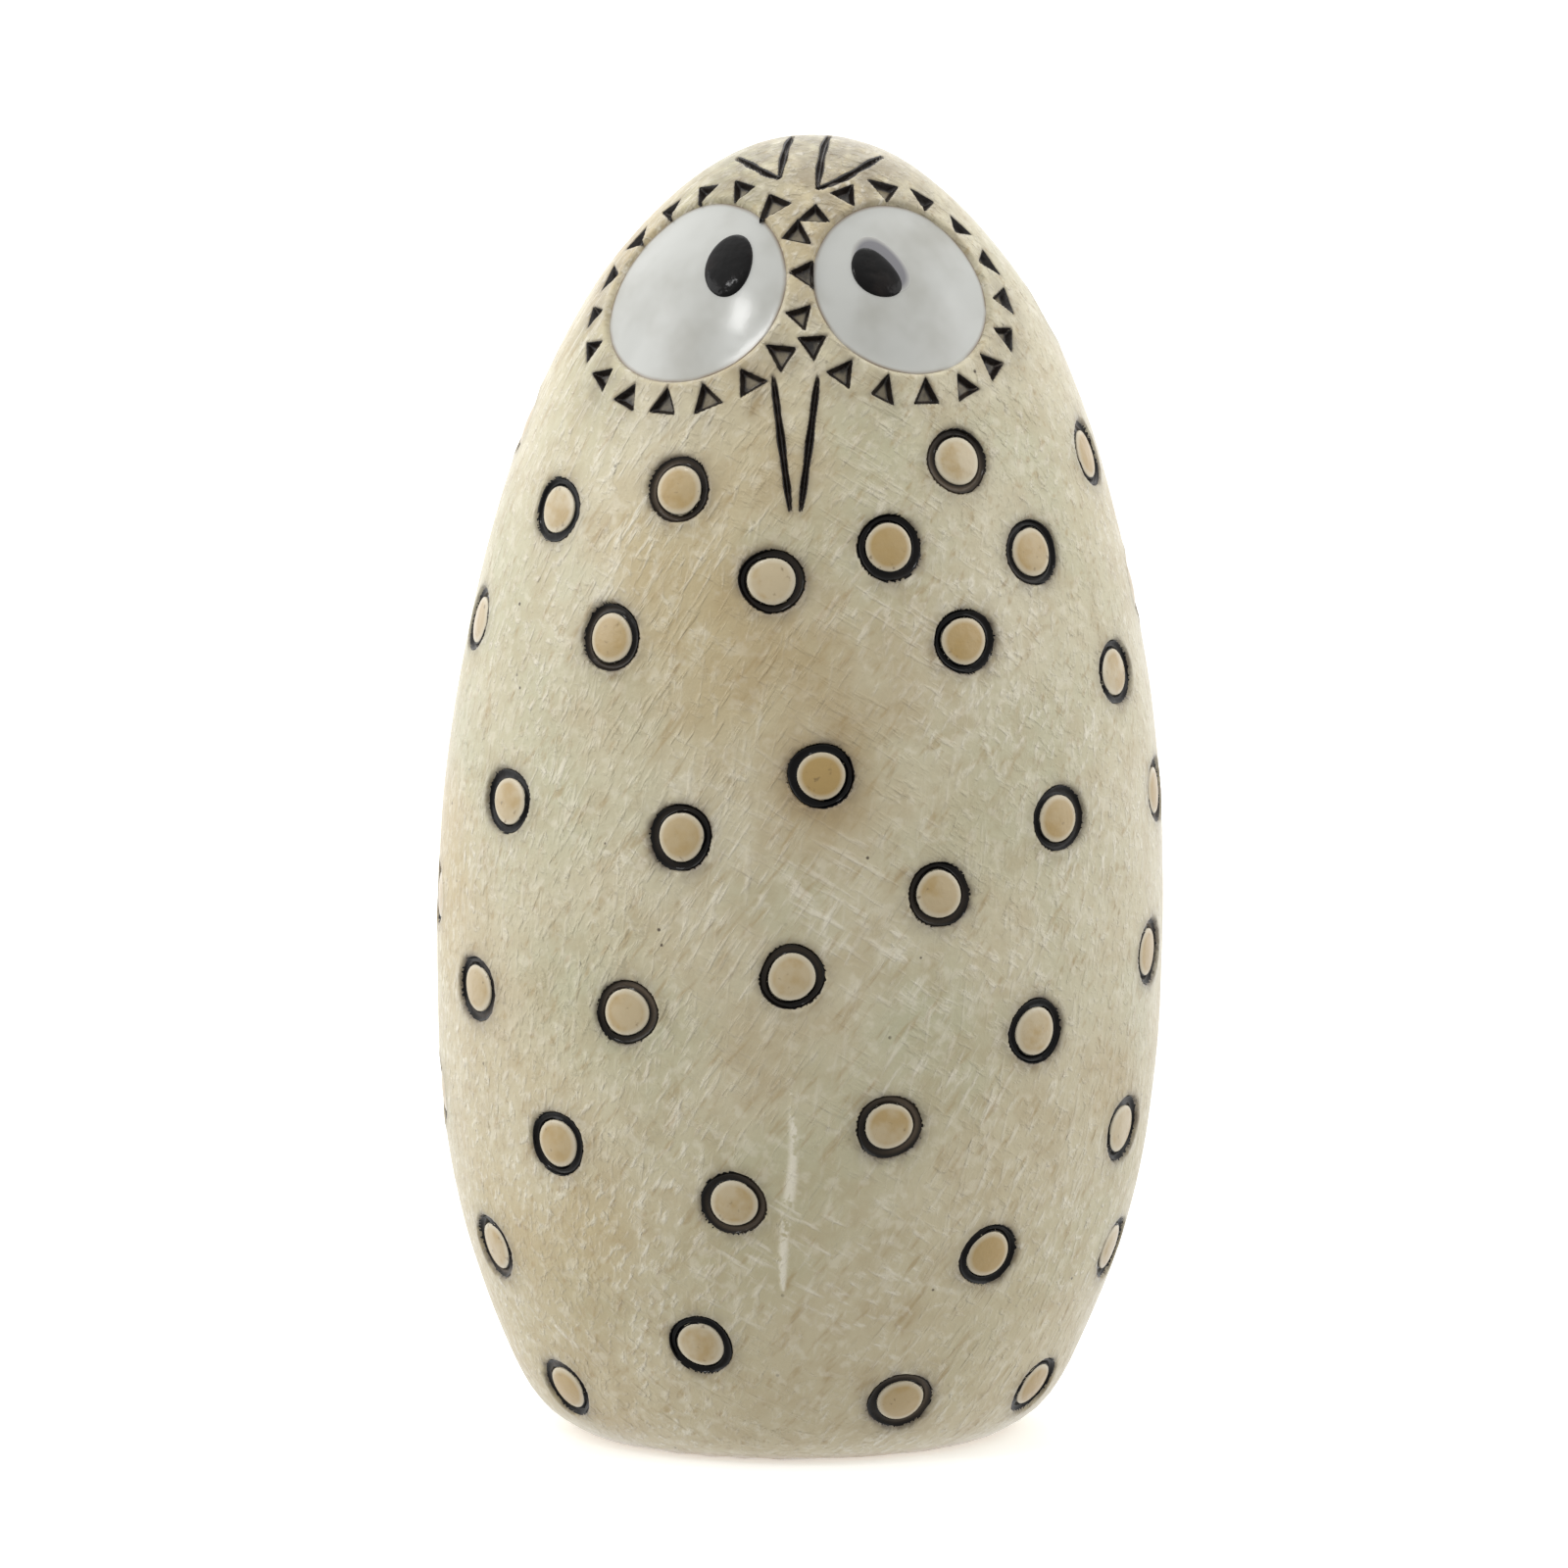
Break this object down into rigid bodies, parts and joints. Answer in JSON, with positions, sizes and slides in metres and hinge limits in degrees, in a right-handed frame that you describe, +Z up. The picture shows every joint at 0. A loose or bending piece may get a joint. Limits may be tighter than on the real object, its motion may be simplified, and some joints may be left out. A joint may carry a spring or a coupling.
{
  "type": "owl figurine",
  "caption": "Free-standing egg-shaped ceramic owl figurine, hollow cast, with ringed round spots, notched round eyes and a carved beak, standing on a flat foot.",
  "frame": {"origin": "bottom centre of the figure, in the plane of its foot", "axes": "+Z up, the owl faces -Y, +X is the owl's own left"},
  "size_m": [0.0641, 0.055, 0.115],
  "materials": {
    "glazed_clay": "satin cream glaze over pale clay",
    "white_enamel": "smooth gloss white enamel",
    "black_enamel": "gloss black enamel",
    "grey_wash": "thin grey enamel wash",
    "ochre_glaze": "satin ochre glaze",
    "umber_stain": "dark umber oxide stain under thin glaze"
  },
  "bodies": {
    "root": {"back_dots": "ochre_glaze", "back_rings": "black_enamel", "belly_dots": "ochre_glaze", "belly_rings": "black_enamel", "body_casting": "glazed_clay", "collar_dots": "ochre_glaze", "collar_rings": "black_enamel", "flank_dots": "ochre_glaze", "flank_rings": "black_enamel", "hem_dots": "ochre_glaze", "hem_rings": "black_enamel", "left_beak_stain": "umber_stain", "left_eye_enamel": "white_enamel", "left_notch_stains": "umber_stain", "left_pupil": "black_enamel", "left_pupil_halo": "grey_wash", "left_tuft_stain": "umber_stain", "lower_breast_dots": "ochre_glaze", "lower_breast_rings": "black_enamel", "mantle_dots": "ochre_glaze", "mantle_rings": "black_enamel", "nape_dots": "ochre_glaze", "nape_rings": "black_enamel", "right_beak_stain": "umber_stain", "right_eye_enamel": "white_enamel", "right_notch_stains": "umber_stain", "right_pupil": "black_enamel", "right_tuft_stain": "umber_stain", "rump_dots": "ochre_glaze", "rump_rings": "black_enamel", "shoulder_dots": "ochre_glaze", "shoulder_rings": "black_enamel", "skirt_dots": "ochre_glaze", "skirt_rings": "black_enamel", "tail_dots": "ochre_glaze", "tail_rings": "black_enamel", "upper_breast_dots": "ochre_glaze", "upper_breast_rings": "black_enamel"}
  },
  "joints": []
}
